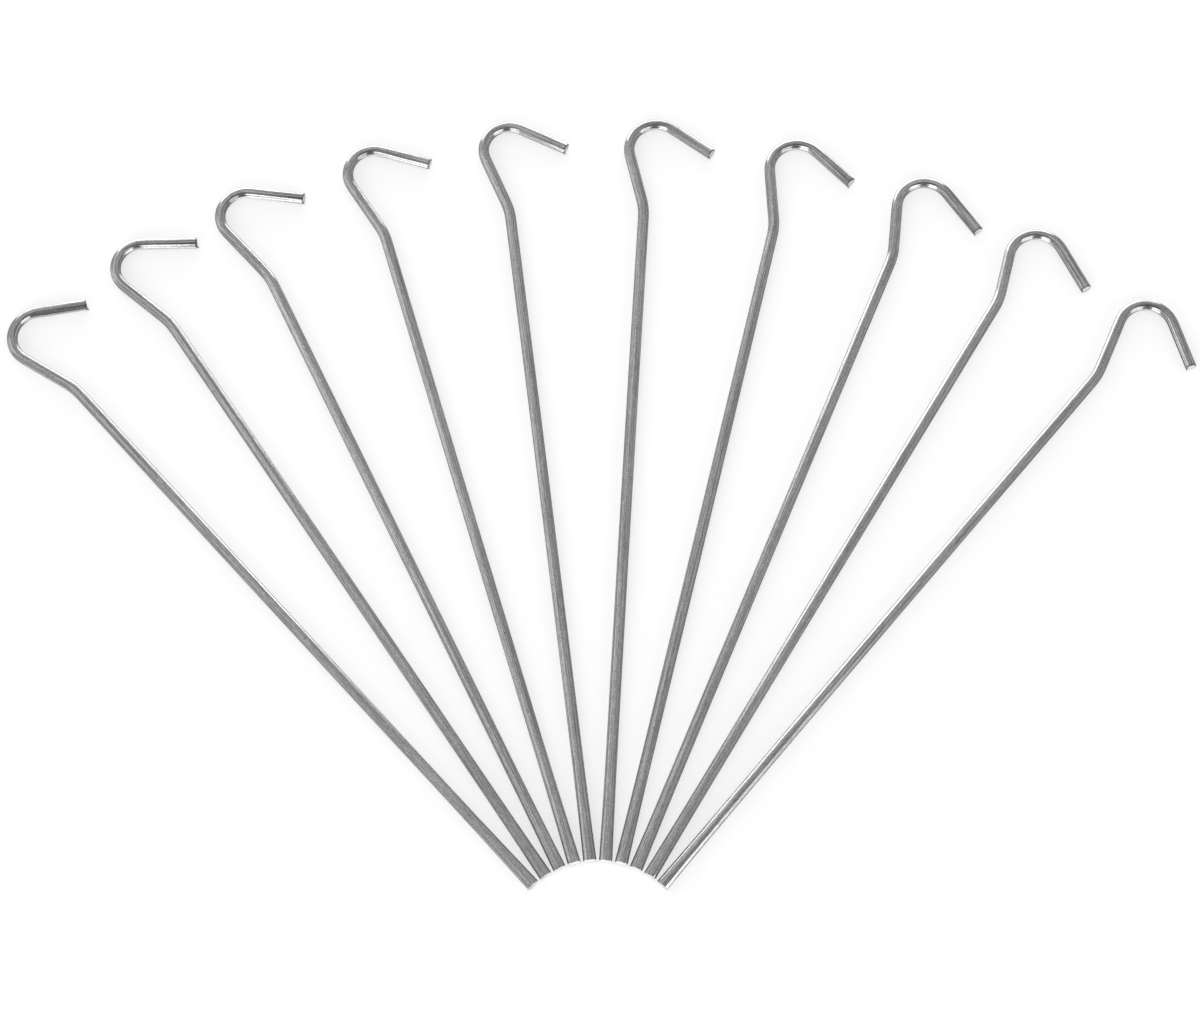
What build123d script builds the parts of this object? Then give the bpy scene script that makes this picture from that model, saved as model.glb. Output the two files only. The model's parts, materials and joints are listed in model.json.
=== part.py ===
from build123d import *
import os
from math import cos, radians, sin

# Ten hooked wire tent stakes, loose, lying flat on the ground in a fan with their tips together.
# A stake is one length of round steel wire. From the tip up it has an end pressed a little flat,
# a straight shank, a slight kink to the left, a short straight neck, a bend over to the right,
# and a straight arm that slopes back down and ends in a square cut.
# Millimetres and degrees. +X is to the right, +Y runs from the tips to the hooks, +Z is up.

# Every stake
STAKE_LENGTH = 230.0    # from the tip to the top of the hook
WIRE_DIAMETER = 3.2
KINK_RADIUS = 18.0      # of the wire's centre line, as all the bend radii are
KINK_ANGLE = 16.5       # the neck leans this far to the left of the shank
BEND_TURN = 139.0       # from the neck's direction to the arm's
FLAT_LENGTH = 36.0      # the stretch over which the tip's flattening dies away
FLAT_STEPS = 4          # cross-sections that shape the flattened tip
TIP_WIDTH = 3.7         # across the flattened end
TIP_THICKNESS = 2.75    # through the flattened end
END_CHAMFER = 0.2       # the broken edge round each cut end

# The fan
TIP_ARC_RADIUS = 26.0   # the tips lie on this arc
TIP_SPACING = 4.32      # from each tip to the next, along the arc

# One row a stake, from the left of the fan to the right. The wires are bent by hand on a jig,
# so the neck, the bend and the arm differ a little from one to the next.
# (lean of the shank to the right, straight neck, bend radius, straight arm)
STAKES = (
    (-42.2, 15.5, 8.0, 15.0),
    (-33.7, 16.0, 7.6, 16.5),
    (-25.7, 17.5, 7.6, 16.5),
    (-16.5, 16.0, 7.6, 15.5),
    (-6.9, 16.0, 7.6, 15.5),
    (3.3, 15.5, 8.2, 14.5),
    (13.3, 16.0, 8.2, 14.5),
    (22.4, 14.0, 8.2, 15.5),
    (30.8, 13.0, 8.2, 15.0),
    (40.0, 16.5, 8.2, 15.0),
)

WIRE_RADIUS = WIRE_DIAMETER / 2


def hook_rise(neck, bend_radius):
    """Height of the top of the hook over the end of the straight shank."""
    lean = radians(KINK_ANGLE)
    return KINK_RADIUS * sin(lean) + neck * cos(lean) + bend_radius * (1 + sin(lean)) + WIRE_RADIUS


def centre_line(neck, bend_radius, arm):
    """The wire's centre line above the flattened tip, with the stake's tip at the origin."""
    shank = Line((0, FLAT_LENGTH), (0, STAKE_LENGTH - hook_rise(neck, bend_radius)))
    kink = JernArc(shank @ 1, shank % 1, KINK_RADIUS, KINK_ANGLE)
    neck_run = PolarLine(kink @ 1, neck, direction=kink % 1)
    bend = JernArc(neck_run @ 1, neck_run % 1, bend_radius, -BEND_TURN)
    arm_run = PolarLine(bend @ 1, arm, direction=bend % 1)
    return Wire([shank, kink, neck_run, bend, arm_run])


def flat_section(height):
    """The wire's cross-section at a height above the tip, where it is pressed flat."""
    flatness = (1 - height / FLAT_LENGTH) ** 2
    half_width = (WIRE_DIAMETER + (TIP_WIDTH - WIRE_DIAMETER) * flatness) / 2
    half_thickness = (WIRE_DIAMETER - (WIRE_DIAMETER - TIP_THICKNESS) * flatness) / 2
    plane = Plane(origin=(0, height, 0), x_dir=(1, 0, 0), z_dir=(0, 1, 0))
    if height == FLAT_LENGTH:
        return plane * Circle(WIRE_RADIUS)
    return plane * Ellipse(half_width, half_thickness)


def stake(neck, bend_radius, arm):
    """One stake, flat in the XY plane, tip at the origin and shank along +Y."""
    line = centre_line(neck, bend_radius, arm)
    wire = sweep(Plane(line @ 0, z_dir=line % 0) * Circle(WIRE_RADIUS), path=line)
    heights = [FLAT_LENGTH * step / FLAT_STEPS for step in range(FLAT_STEPS + 1)]
    tip = loft([flat_section(height) for height in heights])
    body = tip + wire
    for end in (Vector(0, 0, 0), line @ 1):
        rim = body.edges().filter_by(lambda edge: edge.is_closed).sort_by_distance(end)[0]
        body = chamfer(rim, END_CHAMFER)
    return body.solid()


def place(solid, index, lean):
    """Lay a stake in the fan, with its tip on the arc and its wire on the ground."""
    along = TIP_SPACING * (index - (len(STAKES) - 1) / 2) / TIP_ARC_RADIUS
    tip = (TIP_ARC_RADIUS * sin(along), TIP_ARC_RADIUS * cos(along), WIRE_RADIUS)
    return Pos(*tip) * Rot(0, 0, -lean) * solid


os.makedirs("parts", exist_ok=True)
fan = [place(stake(*bends), index, lean) for index, (lean, *bends) in enumerate(STAKES)]

# The origin is the centre of the fan's footprint, on the ground.
footprint = Compound(children=[solid.moved(Location()) for solid in fan]).bounding_box().center()
for number, solid in enumerate(fan, start=1):
    export_step(Pos(-footprint.X, -footprint.Y, 0) * solid, f"parts/stake_{number:02d}.step")
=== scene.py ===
import json
from math import acos, cos, pi, radians, sin, tan

import bpy
import numpy as np
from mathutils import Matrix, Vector


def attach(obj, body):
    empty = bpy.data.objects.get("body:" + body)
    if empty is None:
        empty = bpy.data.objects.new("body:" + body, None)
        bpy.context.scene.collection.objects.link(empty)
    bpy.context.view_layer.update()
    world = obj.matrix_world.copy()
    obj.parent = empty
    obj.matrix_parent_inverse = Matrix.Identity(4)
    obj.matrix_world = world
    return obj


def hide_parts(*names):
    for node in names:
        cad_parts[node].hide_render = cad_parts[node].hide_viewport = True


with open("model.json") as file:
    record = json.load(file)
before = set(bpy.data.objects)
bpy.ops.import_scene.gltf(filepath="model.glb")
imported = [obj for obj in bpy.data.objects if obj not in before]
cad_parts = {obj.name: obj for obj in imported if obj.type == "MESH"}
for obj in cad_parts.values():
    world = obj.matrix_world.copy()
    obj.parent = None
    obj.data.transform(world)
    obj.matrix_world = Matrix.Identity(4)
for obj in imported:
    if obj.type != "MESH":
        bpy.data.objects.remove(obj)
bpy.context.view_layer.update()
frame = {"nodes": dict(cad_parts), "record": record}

# Ten hooked wire tent stakes, loose, lying in a fan on a white studio floor. Each stake is rebuilt
# here as one finely meshed wire on the CAD stake's own centre line, which is worked out from the
# stake's two mounts in the frame. The wires are modelled in millimetres, and everything in the
# studio is in metres. Angles are in degrees here and in radians inside the functions.

MM = 0.001

# The wire
KINK_RADIUS = 18.0
KINK_ANGLE = 16.5
FLAT_LENGTH = 36.0          # the stretch over which the pressed tip's flattening dies away
TIP_HALF_WIDTH = 1.85
TIP_HALF_THICKNESS = 1.375
ARM_END_ALLOWANCE = 0.2     # the arm mount stops this short of the cut end
BEND_EASE = 2.4             # how far each bend takes to come in and go out
EASE_SAMPLES = 9            # places averaged over that distance
BEND_PINCH = 0.03           # share of its width that the wire loses round the hook's bend
BOW = 0.16                  # most that a shank strays from straight
BOW_SHARE = (0.4, 1.0)      # how much of that a stake has
TOOLED_FADE = 12.0          # the stretch over which the bending tool's marks come in
RIM_RADIUS = 0.18           # the rolled edge round each cut end
RING_STEP = 0.7
AROUND = 56                 # corners of each ring

# The sheared ends. A share is of the wire's radius, from the middle of the face outwards.
END_GAPS = (0.9, 0.5)       # the plain rings stop this short of the tip and of the arm's end
RIM_RINGS = 5
FACE_SHARES = (0.86, 0.7, 0.54, 0.38, 0.22, 0.1)
CUT_TILT = 0.17             # how far the cut leans over, at the rim
CUT_DISH = 0.12             # how far the middle of the face sinks
TIP_BURR = 0.15             # the spur that the shear drags out at the right of the tip
ARM_BURR = 1.3              # and at the inner side of the arm's end
BURR_PLACE = (-0.12, 0.06)  # the burr's middle lies between these, in half turns from that side
BURR_WIDTH = 0.22           # in radians round the rim
BURR_FROM = 0.72            # share at which the face starts to rise into the burr
BURR_FADE = 0.28
CUT_VARIATION = (0.5, 1.0)  # how much of the tilt, and of the burr, an end has
CUT_WAVES = ((0.02, 7), (0.014, 13))    # ripples round the face: (height, waves in a turn)

# The colour marks of the ends
FRESH_TO = 0.9              # share at which the face's bright fresh metal ends
FRESH_FADE = 0.1
EDGE_FROM = 0.74            # share from which the arm's cut is dark towards its edge
EDGE_FADE = 0.14
EDGE_REACH = 0.25           # how far along the wire that dark edge goes

# Handling marks. Pairs are the least and the most.
DENTS_A_STAKE = 26
DENT_DEPTH = 0.03
DENT_STRENGTH = (0.2, 1.0)
DENT_LENGTH = (0.5, 3.2)
DENT_WIDTH = (0.25, 0.8)
DENT_END_GAP = 2.0
SEED = 41
PATTERN_SHIFT = 611.0       # along the wire, so that no two stakes show the same pattern

# The metal's patterns: (scale along the wire as a share of that across, scale, detail, roughness)
PATTERNS = {
    "drawn": (0.006, 3.0, 1.0, 0.55),       # long lines left by the drawing die
    "fine": (0.14, 3.2, 2.0, 0.55),         # short lines
    "grain": (0.5, 4.0, 2.0, 0.55),
    "mottle": (0.42, 0.9, 4.0, 0.65),
    "patch": (0.3, 0.16, 2.0, 0.55),
    "scored": (0.018, 4.0, 1.0, 0.55),      # thin scratches
    "nicks": (0.8, 1.5, 1.0, 0.55),
    "tool_lines": (0.02, 2.6, 1.0, 0.55),   # left on the hook by the bending tool
}
DRAWN_SHARE, FINE_SHARE = 0.6, 0.4          # the two that make the streaks

# How the patterns shade the metal: (a pattern's low and high value, the tone at each)
STREAK_TONE = (0.35, 0.65, 0.69, 1.26)
TONES = (
    ("mottle", 0.3, 0.72, 0.92, 1.07),
    ("patch", 0.3, 0.7, 0.93, 1.06),
    ("grain", 0.3, 0.7, 0.76, 1.22),
    ("scored", 0.58, 0.64, 1.0, 0.72),
    ("nicks", 0.75, 0.80, 1.0, 0.45),
)
TOOL_TONE = (0.48, 0.60, 1.0, 0.55)
CUT_TONE = (0.3, 0.7, 0.9, 1.05)
SHANK_GREY, HOOK_GREY, CUT_GREY = 0.58, 0.66, 0.9
EDGE_GREY = 0.4             # share of the grey that the dark edge keeps
GREEN_SHARE, BLUE_SHARE = 0.998, 0.99
CUT_METALLIC = 0.25

# How rough it shines: (the streaks' or mottle's low and high value, the roughness at each)
STREAK_ROUGHNESS = (0.3, 0.7, 0.22, 0.13)
MOTTLE_ROUGHNESS = (0.3, 0.7, 0.04, -0.02)
CUT_ROUGHNESS = 0.2         # added on the cut faces
STREAK_BUMP, MOTTLE_BUMP = 0.7, 0.5
BUMP_STRENGTH = 0.6
BUMP_HEIGHT = 0.00004

# The floor
FLOOR_SIZE = 14.0
FLOOR_DROP = 0.00005        # the gap that keeps it off the wires
FLOOR_GREY = 0.8
FLOOR_ROUGHNESS = 0.9
FLOOR_GLOW = (0.2, 0.6, 0.53, 1.1)  # (two distances from the middle, the light given off at each)

# The room: the brightness that the metal sees round it
LEFT_TO_RIGHT = (-0.5, 0.6, 0.58, 0.44)     # (two places from left to right, the level at each)
DARK_FRONT = (0.150, -0.853, 0.500)         # the way to the unlit part, over the camera
DARK_FRONT_EDGE = (0.5, 0.8)    # cosines of the angle from that way where it begins and is full
DARK_FRONT_LEVEL = 0.19
# Below the stakes: (level, then the up and the back parts of the way where it begins and is full)
LOW_BANDS = (
    (1.3, (-0.3, -0.7), (-0.4, -0.75)),     # a bright board in front
    (0.12, (-0.5, -0.9), (-0.3, 0.1)),      # dark behind
)
BACKGROUND_LEVEL = 1.1      # what the camera sees past the floor

# Soft panels. Bearings are from +X towards +Y, and heights are above the floor.
# (name, bearing, height, distance, half width and half height as angles, brightness)
PANELS = (
    ("back_panel", 96, -4, 1.0, 36, 23, 2.3),
    ("back_left_panel", 126, 14, 1.2, 8, 14, 0.9),
    ("right_softbox", -45, 6, 2.0, 20, 34, 1.45),
    ("left_softbox", -114, 3, 2.0, 16, 39, 2.0),
    ("left_wall", 173, 10, 2.0, 14, 40, 0.28),
)

# The camera
CAMERA_AIM = (-0.0001, -0.00833, 0.0016)
CAMERA_DISTANCE = 0.9506
CAMERA_TILT = 20.62         # off straight down
SENSOR_WIDTH = 36.0         # this and the focal length are in millimetres
FOCAL_LENGTH = 99.2
CLIP_START = 0.01


def flat2(values):
    """A place's X and Y in millimetres."""
    return np.array(values[:2], float) / MM


def turned(vector, angle):
    """A flat vector turned to the left."""
    c, s = cos(angle), sin(angle)
    return np.array([c * vector[0] - s * vector[1], s * vector[0] + c * vector[1]])


def smooth_step(value):
    value = np.clip(value, 0, 1)
    return value * value * (3 - 2 * value)


def angle_from(angles, middle):
    """How far round each angle is from the middle one, from minus half a turn to half a turn."""
    return (angles - middle + pi) % (2 * pi) - pi


def stake_plan(number):
    """A stake's tip, heading, and runs as (length, turn to the left), from the record's two pins."""
    mounts = {mount["name"]: mount for mount in frame["record"]["mounts"]}
    shank, arm = mounts[f"shank_{number:02d}"], mounts[f"hook_arm_{number:02d}"]
    radius = shank["dims"]["r_mm"]
    height = shank["pos_m"][2] / MM
    up = -np.array(shank["axis"][:2], float)
    half = shank["dims"]["length_mm"] / 2
    tip = flat2(shank["pos_m"]) - up * (half + FLAT_LENGTH)
    shank_top = flat2(shank["pos_m"]) + up * half
    kink = radians(KINK_ANGLE)
    kink_end = shank_top + KINK_RADIUS * (sin(kink) * up + (1 - cos(kink)) * turned(up, pi / 2))
    neck_way = turned(up, kink)
    arm_way = np.array(arm["axis"][:2], float)
    arm_start = flat2(arm["pos_m"]) - arm_way * arm["dims"]["length_mm"] / 2
    bend = acos(float(np.clip(neck_way @ arm_way, -1, 1)))
    reach = arm_start - kink_end
    bend_radius = float(reach @ turned(neck_way, -pi / 2)) / (1 - cos(bend))
    neck = float(reach @ neck_way) - bend_radius * sin(bend)
    runs = (
        (FLAT_LENGTH + 2 * half, 0.0),
        (KINK_RADIUS * kink, kink),
        (neck, 0.0),
        (bend_radius * bend, -bend),
        (arm["dims"]["length_mm"] + ARM_END_ALLOWANCE, 0.0),
    )
    return tip, up, runs, radius, height


def headings(stations, runs):
    """How far the wire has turned to the left at each station, with each bend eased in and out."""
    ends = np.cumsum([length for length, turn in runs])
    starts = ends - [length for length, turn in runs]
    total = np.zeros_like(stations)
    for offset in np.linspace(-BEND_EASE / 2, BEND_EASE / 2, EASE_SAMPLES):
        for start, (length, turn) in zip(starts, runs):
            total += turn * np.clip((stations + offset - start) / length, 0, 1)
    return total / EASE_SAMPLES


class Wire:
    """The centre line of one stake, station by station, and how its section changes along it."""

    def __init__(self, number, random):
        tip, up, runs, self.radius, self.height = stake_plan(number)
        self.length = float(sum(length for length, turn in runs))
        self.stations = np.linspace(0, self.length, int(round(self.length / RING_STEP)) + 1)

        shank = runs[0][0]
        bow = BOW * random.uniform(*BOW_SHARE) * random.choice([-1, 1])
        wave = pi * np.clip(self.stations / shank, 0, 1)
        lean = headings(self.stations, runs)
        lean += bow * pi / shank * np.cos(wave) * (self.stations < shank)

        start = float(np.arctan2(up[1], up[0]))
        self.ways = np.stack([np.cos(start + lean), np.sin(start + lean)], 1)
        self.sides = np.stack([self.ways[:, 1], -self.ways[:, 0]], 1)
        middle = (self.ways[1:] + self.ways[:-1]) / 2
        middle /= np.linalg.norm(middle, axis=1)[:, None]
        chords = np.diff(self.stations) * np.sinc(np.diff(lean) / 2 / pi)
        self.points = tip + np.concatenate([[[0, 0]], np.cumsum(middle * chords[:, None], 0)])

        hook_start = sum(length for length, turn in runs[:3])
        hook_end = hook_start + runs[3][0]
        past_start = smooth_step((self.stations - hook_start + BEND_EASE) / (2 * BEND_EASE))
        before_end = smooth_step((hook_end + BEND_EASE - self.stations) / (2 * BEND_EASE))
        self.hook = past_start * before_end
        self.tooled = smooth_step((self.stations - hook_start) / TOOLED_FADE)

    def section(self):
        """Half width and half thickness at each station."""
        flat = np.clip(1 - self.stations / FLAT_LENGTH, 0, 1) ** 2
        width = self.radius + (TIP_HALF_WIDTH - self.radius) * flat
        thickness = self.radius - (self.radius - TIP_HALF_THICKNESS) * flat
        return width * (1 - BEND_PINCH * self.hook), thickness


def dents(wire, angles, random):
    """Shallow dents and scuffs pressed into the wire, as depths on the grid of rings."""
    depth = np.zeros((len(wire.stations), len(angles)))
    for _ in range(DENTS_A_STAKE):
        centre = random.uniform(DENT_END_GAP, wire.length - DENT_END_GAP)
        angle = random.uniform(0, 2 * pi)
        long = random.uniform(*DENT_LENGTH)
        wide = random.uniform(*DENT_WIDTH)
        deep = DENT_DEPTH * random.uniform(*DENT_STRENGTH)
        along = (wire.stations - centre) / long
        around = angle_from(angles, angle) * wire.radius / wide
        depth += deep * np.exp(-along[:, None] ** 2 - around[None, :] ** 2)
    return depth


def end_rings(wire, angles, width, thickness, at_tip, random):
    """Rings of one sheared end, as (points, share), from the rim inwards, and the face's middle."""
    index = 0 if at_tip else -1
    out = -wire.ways[index] if at_tip else wire.ways[index]
    centre, side = wire.points[index], wire.sides[index]
    lean_to, burr_at = random.uniform(0, 2 * pi), random.uniform(*BURR_PLACE) * pi
    tilt = CUT_TILT * random.uniform(*CUT_VARIATION)
    burr = (TIP_BURR if at_tip else ARM_BURR) * random.uniform(*CUT_VARIATION)
    burr = burr * np.exp(-(angle_from(angles, burr_at) / BURR_WIDTH) ** 2)
    rough = sum(
        size * np.cos(waves * angles + phase)
        for (size, waves), phase in zip(CUT_WAVES, (lean_to, burr_at))
    )
    profile = [
        (1 - RIM_RADIUS * (1 - cos(roll)) / wire.radius, -RIM_RADIUS * (1 - sin(roll)))
        for roll in np.linspace(0, pi / 2, RIM_RINGS)
    ]
    profile += [(share, 0.0) for share in FACE_SHARES]
    rings = []
    for share, rise in profile:
        lift = rise + tilt * share * np.cos(angles - lean_to) - tilt
        at_rim = smooth_step((share - BURR_FROM) / BURR_FADE) * smooth_step(1 + rise / RIM_RADIUS)
        lift += burr * at_rim
        lift += rough * share - CUT_DISH * (1 - share ** 2)
        across = width * share * np.cos(angles)
        tall = thickness * share * np.sin(angles)
        flat = centre + across[:, None] * side + lift[:, None] * out
        rings.append((np.column_stack([flat, wire.height + tall]), share))
    return rings, [*(centre + out * (-CUT_DISH - tilt)), wire.height]


def wire_rings(wire, angles, random):
    """Rings from the tip's face to the arm's, as (points, share, station), and the faces' middles."""
    width, thickness = wire.section()
    depth = dents(wire, angles, random)
    width, thickness = width[:, None] - depth, thickness[:, None] - depth
    tip_rings, tip_hub = end_rings(wire, angles, width[0], thickness[0], True, random)
    arm_rings, arm_hub = end_rings(wire, angles, width[-1], thickness[-1], False, random)

    rings = [(points, share, 0.0) for points, share in reversed(tip_rings)]
    plain = (wire.stations > END_GAPS[0]) & (wire.stations < wire.length - END_GAPS[1])
    for row in np.flatnonzero(plain):
        across = width[row] * np.cos(angles)
        tall = thickness[row] * np.sin(angles)
        flat = wire.points[row] + across[:, None] * wire.sides[row]
        rings.append((np.column_stack([flat, wire.height + tall]), 1.0, wire.stations[row]))
    rings += [(points, share, wire.length) for points, share in arm_rings]
    return rings, [tip_hub, arm_hub]


def wire_faces(count):
    """Four-sided faces between the rings, and a fan of triangles to the middle of each end."""
    ring = np.arange(AROUND)
    after = np.roll(ring, -1)
    faces = []
    for low in range(0, (count - 1) * AROUND, AROUND):
        high = low + AROUND
        faces += np.column_stack([low + ring, high + ring, high + after, low + after]).tolist()
    last = (count - 1) * AROUND
    tip_hub, arm_hub = count * AROUND, count * AROUND + 1
    faces += [[tip_hub, int(a), int(b)] for a, b in zip(ring, after)]
    faces += [[arm_hub, int(last + b), int(last + a)] for a, b in zip(ring, after)]
    return faces


def wire_mesh(number):
    """The whole stake as one closed mesh, with the marks that its material reads."""
    random = np.random.default_rng(SEED + number)
    wire = Wire(number, random)
    angles = np.arange(AROUND) * 2 * pi / AROUND
    rings, hubs = wire_rings(wire, angles, random)
    shares = np.array([share for points, share, station in rings])
    stations = np.array([station for points, share, station in rings])

    verts = np.concatenate([points for points, share, station in rings] + [hubs]) * MM
    mesh = bpy.data.meshes.new(f"stake_{number:02d}_wire")
    mesh.from_pydata(verts.tolist(), [], wire_faces(len(rings)))
    mesh.validate()

    spots = np.column_stack([
        np.outer(wire.radius * shares, np.cos(angles)).ravel(),
        np.outer(wire.radius * shares, np.sin(angles)).ravel(),
        np.repeat(stations, AROUND),
    ])
    spots = np.concatenate([spots, [[0, 0, 0], [0, 0, wire.length]]])
    spots[:, 2] += number * PATTERN_SHIFT
    place = mesh.attributes.new("wire_place", "FLOAT_VECTOR", "POINT")
    place.data.foreach_set("vector", spots.astype(np.float32).ravel())

    fresh = smooth_step((FRESH_TO - shares) / FRESH_FADE)
    dark = np.exp(-((wire.length - stations) / EDGE_REACH) ** 2)
    dark *= smooth_step((shares - EDGE_FROM) / EDGE_FADE)
    tooled = np.interp(stations, wire.stations, wire.tooled)
    # Each mark by ring, and at the middle of the tip's face and of the arm's
    for name, by_ring, at_hubs in (
        ("fresh_cut", fresh, [1.0, 1.0]),
        ("cut_edge", dark, [0.0, 0.0]),
        ("tooled", tooled, [0.0, 1.0]),
    ):
        values = np.append(np.repeat(by_ring, AROUND), at_hubs)
        mark = mesh.attributes.new(name, "FLOAT", "POINT")
        mark.data.foreach_set("value", values.astype(np.float32))
    mesh.polygons.foreach_set("use_smooth", [True] * len(mesh.polygons))
    mesh.update()
    return mesh


class Nodes:
    """A short way to write a material's or the world's nodes."""

    def __init__(self, owner):
        owner.use_nodes = True
        self.tree = owner.node_tree
        self.tree.nodes.clear()

    def add(self, kind, inputs=(), **settings):
        node = self.tree.nodes.new(kind)
        for name, value in settings.items():
            setattr(node, name, value)
        for name, value in dict(inputs).items():
            if isinstance(value, bpy.types.NodeSocket):
                self.tree.links.new(value, node.inputs[name])
            else:
                node.inputs[name].default_value = value
        return node

    def maths(self, operation, first, second):
        return self.add("ShaderNodeMath", {0: first, 1: second}, operation=operation).outputs[0]

    def vector_maths(self, operation, first, second=(0, 0, 0)):
        return self.add("ShaderNodeVectorMath", {0: first, 1: second}, operation=operation).outputs

    def times(self, first, second):
        return self.maths("MULTIPLY", first, second)

    def plus(self, first, second):
        return self.maths("ADD", first, second)

    def blend(self, share, first, second):
        return self.add("ShaderNodeMix", {0: share, 2: first, 3: second}).outputs[0]

    def spread(self, value, low, high, to_low, to_high):
        """The value carried from one range to another, and held at its ends."""
        return self.add("ShaderNodeMapRange", {
            "Value": value, "From Min": low, "From Max": high, "To Min": to_low, "To Max": to_high,
        }).outputs[0]

    def mark(self, name):
        return self.add("ShaderNodeAttribute", attribute_name=name).outputs["Fac"]

    def output(self, kind, shader):
        self.tree.links.new(shader.outputs[0], self.add(kind).inputs[0])


def wire_patterns(n):
    """The metal's patterns, as noises on the wire's own coordinates."""
    place = n.add("ShaderNodeAttribute", attribute_name="wire_place").outputs["Vector"]
    patterns = {}
    for name, (along, scale, detail, roughness) in PATTERNS.items():
        mapped = n.add("ShaderNodeMapping", {"Vector": place, "Scale": (1, 1, along)})
        patterns[name] = n.add("ShaderNodeTexNoise", {
            "Vector": mapped.outputs[0], "Scale": scale, "Detail": detail, "Roughness": roughness,
        }).outputs[0]
    patterns["streaks"] = n.plus(
        n.times(patterns["drawn"], DRAWN_SHARE), n.times(patterns["fine"], FINE_SHARE))
    return patterns


def wire_material():
    """Dull galvanised wire: lengthwise drawing lines, grey mottling, scuffs and bright cut ends."""
    material = bpy.data.materials.new("galvanised_wire")
    n = Nodes(material)
    patterns = wire_patterns(n)
    fresh, cut_edge, tooled = n.mark("fresh_cut"), n.mark("cut_edge"), n.mark("tooled")
    streaks, mottle = patterns["streaks"], patterns["mottle"]

    tone = n.spread(streaks, *STREAK_TONE)
    for name, *ranges in TONES:
        tone = n.times(tone, n.spread(patterns[name], *ranges))
    tone = n.times(tone, n.blend(tooled, 1.0, n.spread(patterns["tool_lines"], *TOOL_TONE)))
    body_grey = n.times(tone, n.spread(tooled, 0.0, 1.0, SHANK_GREY, HOOK_GREY))
    cut_grey = n.times(n.spread(mottle, *CUT_TONE), CUT_GREY)
    grey = n.blend(fresh, body_grey, cut_grey)
    grey = n.times(grey, n.spread(cut_edge, 0.0, 1.0, 1.0, EDGE_GREY))
    colour = n.add("ShaderNodeCombineColor", {
        "Red": grey, "Green": n.times(grey, GREEN_SHARE), "Blue": n.times(grey, BLUE_SHARE)})

    roughness = n.plus(n.spread(streaks, *STREAK_ROUGHNESS), n.spread(mottle, *MOTTLE_ROUGHNESS))
    roughness = n.plus(roughness, n.times(fresh, CUT_ROUGHNESS))
    height = n.plus(n.times(streaks, STREAK_BUMP), n.times(mottle, MOTTLE_BUMP))
    bump = n.add("ShaderNodeBump", {
        "Height": height, "Strength": BUMP_STRENGTH, "Distance": BUMP_HEIGHT})
    shader = n.add("ShaderNodeBsdfPrincipled", {
        "Base Color": colour.outputs[0],
        "Metallic": n.spread(fresh, 0.0, 1.0, 1.0, CUT_METALLIC),
        "Roughness": roughness,
        "Normal": bump.outputs[0],
    })
    n.output("ShaderNodeOutputMaterial", shader)
    return material


def floor_material():
    """A white board that glows a little, and more far from the stakes, where less light reaches it."""
    material = bpy.data.materials.new("studio_floor")
    n = Nodes(material)
    place = n.add("ShaderNodeTexCoord").outputs["Object"]
    away = n.vector_maths("LENGTH", place)["Value"]
    shader = n.add("ShaderNodeBsdfPrincipled", {
        "Base Color": (FLOOR_GREY, FLOOR_GREY, FLOOR_GREY, 1),
        "Roughness": FLOOR_ROUGHNESS,
        "Specular IOR Level": 0.0,
        "Emission Color": (1, 1, 1, 1),
        "Emission Strength": n.spread(away, *FLOOR_GLOW),
    })
    n.output("ShaderNodeOutputMaterial", shader)
    return material


def studio_floor():
    """The floor, just under the wires. The metal mirrors the room's levels in its place."""
    bpy.ops.mesh.primitive_plane_add(size=FLOOR_SIZE, location=(0, 0, -FLOOR_DROP))
    floor = bpy.context.active_object
    floor.name = "studio_floor"
    floor.data.materials.append(floor_material())
    floor.visible_glossy = False


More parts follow.
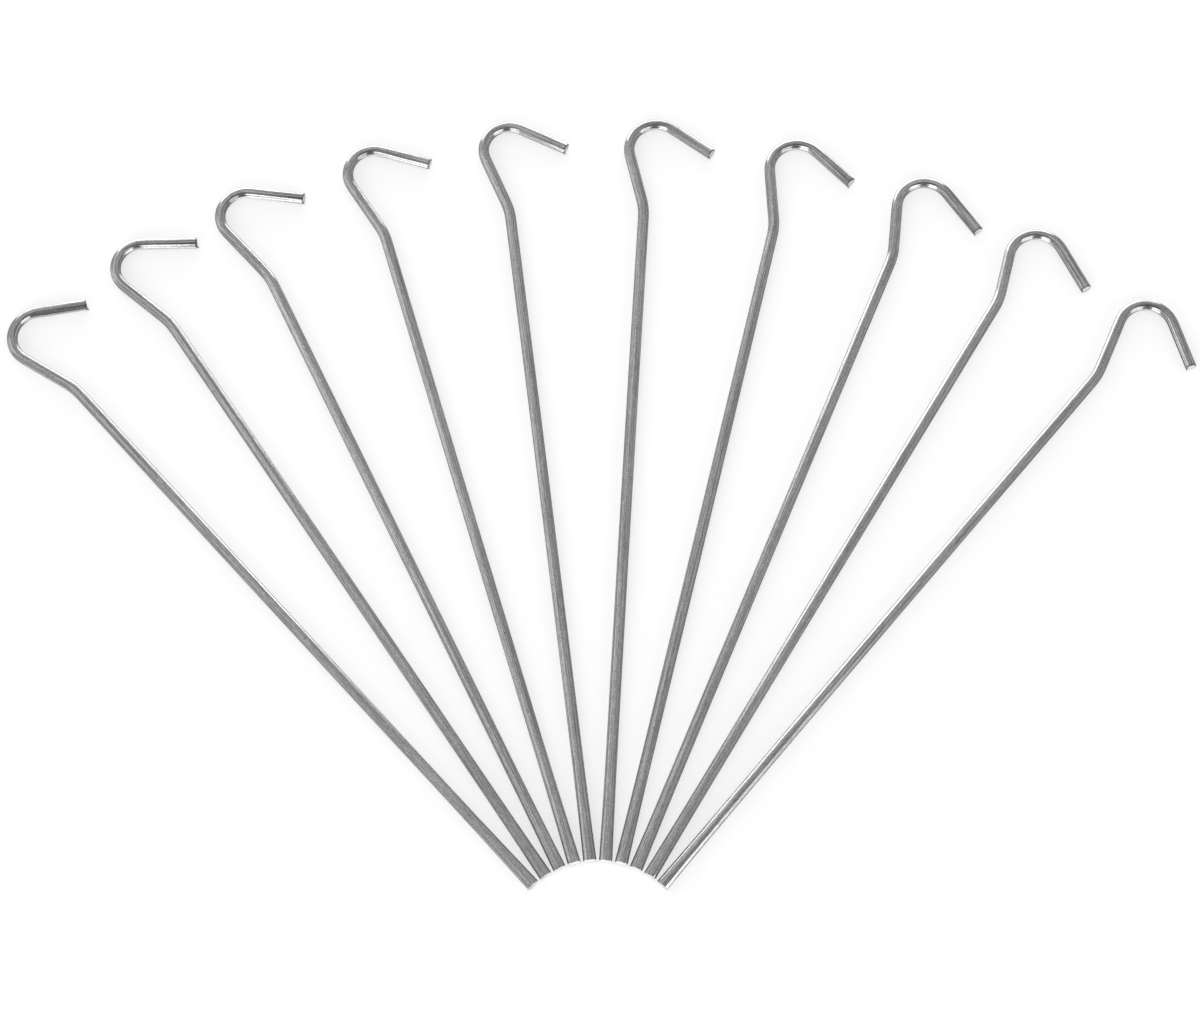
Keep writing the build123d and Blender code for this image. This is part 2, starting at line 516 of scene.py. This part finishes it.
def room():
    """The grey surroundings by direction: dark over the camera, bright low in front, dark below."""
    world = bpy.data.worlds.new("studio")
    bpy.context.scene.world = world
    n = Nodes(world)
    way = n.add("ShaderNodeTexCoord").outputs["Generated"]
    split = n.add("ShaderNodeSeparateXYZ", {0: way}).outputs
    across, up = split[0], split[2]
    flat = n.add("ShaderNodeCombineXYZ", {0: across, 1: split[1]}).outputs[0]
    back = n.add("ShaderNodeSeparateXYZ", {0: n.vector_maths("NORMALIZE", flat)[0]}).outputs[1]

    level = n.spread(across, *LEFT_TO_RIGHT)
    near_dark = n.vector_maths("DOT_PRODUCT", way, DARK_FRONT)["Value"]
    level = n.blend(n.spread(near_dark, *DARK_FRONT_EDGE, 0.0, 1.0), level, DARK_FRONT_LEVEL)
    for band_level, up_range, back_range in LOW_BANDS:
        band = n.times(n.spread(up, *up_range, 0.0, 1.0), n.spread(back, *back_range, 0.0, 1.0))
        level = n.blend(band, level, band_level)
    seen = n.add("ShaderNodeLightPath").outputs["Is Camera Ray"]
    background = n.add("ShaderNodeBackground", {
        "Color": (1, 1, 1, 1), "Strength": n.blend(seen, level, BACKGROUND_LEVEL)})
    n.output("ShaderNodeOutputWorld", background)


def panel(name, bearing, height, distance, half_width, half_height, radiance):
    """A soft panel facing the fan, placed by its bearing and height as seen from there."""
    bearing, height = radians(bearing), radians(height)
    data = bpy.data.lights.new(name, "AREA")
    data.shape = "RECTANGLE"
    data.size = 2 * distance * tan(radians(half_width))
    data.size_y = 2 * distance * tan(radians(half_height))
    data.energy = radiance * pi * data.size * data.size_y
    light = bpy.data.objects.new(name, data)
    way = Vector((cos(height) * cos(bearing), cos(height) * sin(bearing), sin(height)))
    light.location = distance * way
    light.rotation_euler = (-way).to_track_quat("-Z", "Y").to_euler()
    light.visible_camera = False
    bpy.context.scene.collection.objects.link(light)


def camera():
    """Above and in front of the fan, looking down at it."""
    tilt = radians(CAMERA_TILT)
    data = bpy.data.cameras.new("camera")
    data.sensor_width = SENSOR_WIDTH
    data.lens = FOCAL_LENGTH
    data.clip_start = CLIP_START
    view = bpy.data.objects.new("camera", data)
    view.location = Vector(CAMERA_AIM) + CAMERA_DISTANCE * Vector((0, -sin(tilt), cos(tilt)))
    view.rotation_euler = (tilt, 0, 0)
    bpy.context.scene.collection.objects.link(view)
    bpy.context.scene.camera = view


def stake(number, metal):
    """One stake's wire, which rides on the CAD stake's body and stands in for its node."""
    node = f"stake_{number:02d}"
    mesh = wire_mesh(number)
    mesh.materials.append(metal)
    piece = bpy.data.objects.new(f"{node}_wire", mesh)
    bpy.context.scene.collection.objects.link(piece)
    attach(piece, node)
    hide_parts(node)


camera()
studio_floor()
room()
for row in PANELS:
    panel(*row)
bpy.context.scene.view_settings.view_transform = "Standard"
steel = wire_material()
for number in range(1, len(frame["nodes"]) + 1):
    stake(number, steel)
